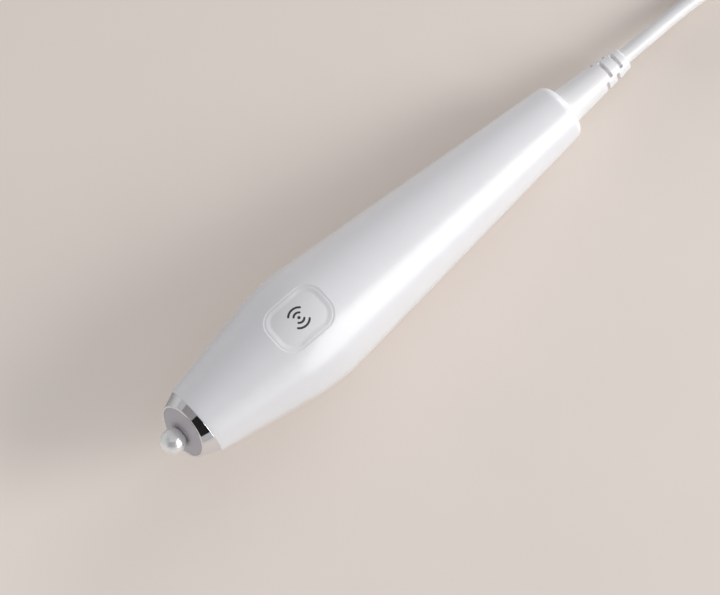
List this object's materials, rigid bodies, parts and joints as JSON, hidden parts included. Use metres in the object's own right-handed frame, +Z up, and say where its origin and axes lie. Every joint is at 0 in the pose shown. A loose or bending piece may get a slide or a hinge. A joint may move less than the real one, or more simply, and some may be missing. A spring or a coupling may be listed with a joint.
{
  "type": "intraoral camera",
  "caption": "Hand-held corded intraoral camera wand: spindle-shaped casing, chrome cone nose with a ball lens, one push button, cable with USB plug.",
  "frame": {"origin": "on the surface the wand lies on, under the middle of the box around the wand without its cord", "axes": "+Z up; +X along the wand from the ball lens to the cable, level with the surface (the wand's own axis tips 5.3 degrees down towards the cable); the button faces +Z"},
  "size_m": [0.2935, 0.0382, 0.0323],
  "materials": {
    "casing_white": "glossy moulded plastic",
    "button_white": "satin gloss moulded plastic with a printed pictogram",
    "polished_chrome": "mirror polished",
    "grey_window": "half-mirrored smoked acrylic",
    "silvered_glass": "half-mirrored polished ball",
    "clear_glass": "polished optical glass",
    "filter_glass": "coated flat glass",
    "barrel_steel": "turned",
    "screw_steel": "zinc plated",
    "spring_steel": "bright",
    "crystal_can": "bright",
    "black_rubber": "matt",
    "black_plastic": "matt moulded",
    "plunger_white": "matt moulded",
    "chip_black": "epoxy package",
    "board_green": "solder mask on glass laminate",
    "board_white": "white solder mask",
    "led_yellow": "phosphor-coated",
    "connector_ivory": "moulded nylon",
    "flex_amber": "polyimide film",
    "capacitor_tan": "ceramic body",
    "clamp_nylon": "moulded nylon",
    "wire_red": "insulated wire",
    "relief_white": "satin white elastomer",
    "cable_white": "satin white jacket",
    "tie_grey": "woven hook-and-loop strap",
    "plug_white": "satin white overmould",
    "plug_nickel": "nickel plated sheet",
    "plug_insert_white": "moulded",
    "contact_gold": "gold plated"
  },
  "bodies": {
    "handpiece": {"aperture_stop": "black_plastic", "ball_lens": "silvered_glass", "bezel_seal": "black_rubber", "board_screws": "screw_steel", "cable_clamp": "clamp_nylon", "cable_hank": "cable_white", "cable_jacket_end": "cable_white", "cable_lead": "cable_white", "cable_tail": "cable_white", "capacitors": "capacitor_tan", "casing_bottom": "casing_white", "casing_screws": "screw_steel", "casing_top": "casing_white", "clamp_screws": "screw_steel", "clock_crystal": "crystal_can", "flex_cable": "flex_amber", "flex_socket": "connector_ivory", "hank_tie": "tie_grey", "image_sensor": "chip_black", "infrared_filter": "filter_glass", "led_board": "board_white", "leds": "led_yellow", "lens_barrel": "barrel_steel", "lens_retainer": "barrel_steel", "lens_spacers": "black_plastic", "light_window": "grey_window", "main_board": "board_green", "memory_chip": "chip_black", "nose_bezel": "polished_chrome", "optics_carrier": "black_plastic", "relay_lens_front": "clear_glass", "relay_lens_rear": "clear_glass", "sensor_board": "board_green", "sensor_holder": "black_plastic", "sensor_screws": "screw_steel", "sensor_socket": "connector_ivory", "signal_wires": "wire_red", "strain_relief": "relief_white", "switch_base": "black_plastic", "switch_dome": "spring_steel", "usb_contacts": "contact_gold", "usb_plug_grip": "plug_white", "usb_plug_insert": "plug_insert_white", "usb_plug_shell": "plug_nickel", "video_processor": "chip_black", "wire_header": "connector_ivory", "wire_plug": "connector_ivory"},
    "button": {"button_cap": "button_white"},
    "plunger": {"switch_plunger": "plunger_white"}
  },
  "joints": [
    {"name": "button_press", "type": "slide", "parent": "handpiece", "child": "button", "axis": [-0.0924, 0, -0.9957], "range_m": [0, 0.0005], "stiffness_N_per_m": 1000, "springref_m": -0.0004},
    {"name": "plunger_press", "type": "slide", "parent": "handpiece", "child": "plunger", "axis": [-0.0924, 0, -0.9957], "range_m": [0, 0.0005], "deforming": ["switch_dome"]}
  ],
  "couplings": [
    {"joint": "plunger_press", "follows": "button_press", "ratio": 1}
  ]
}
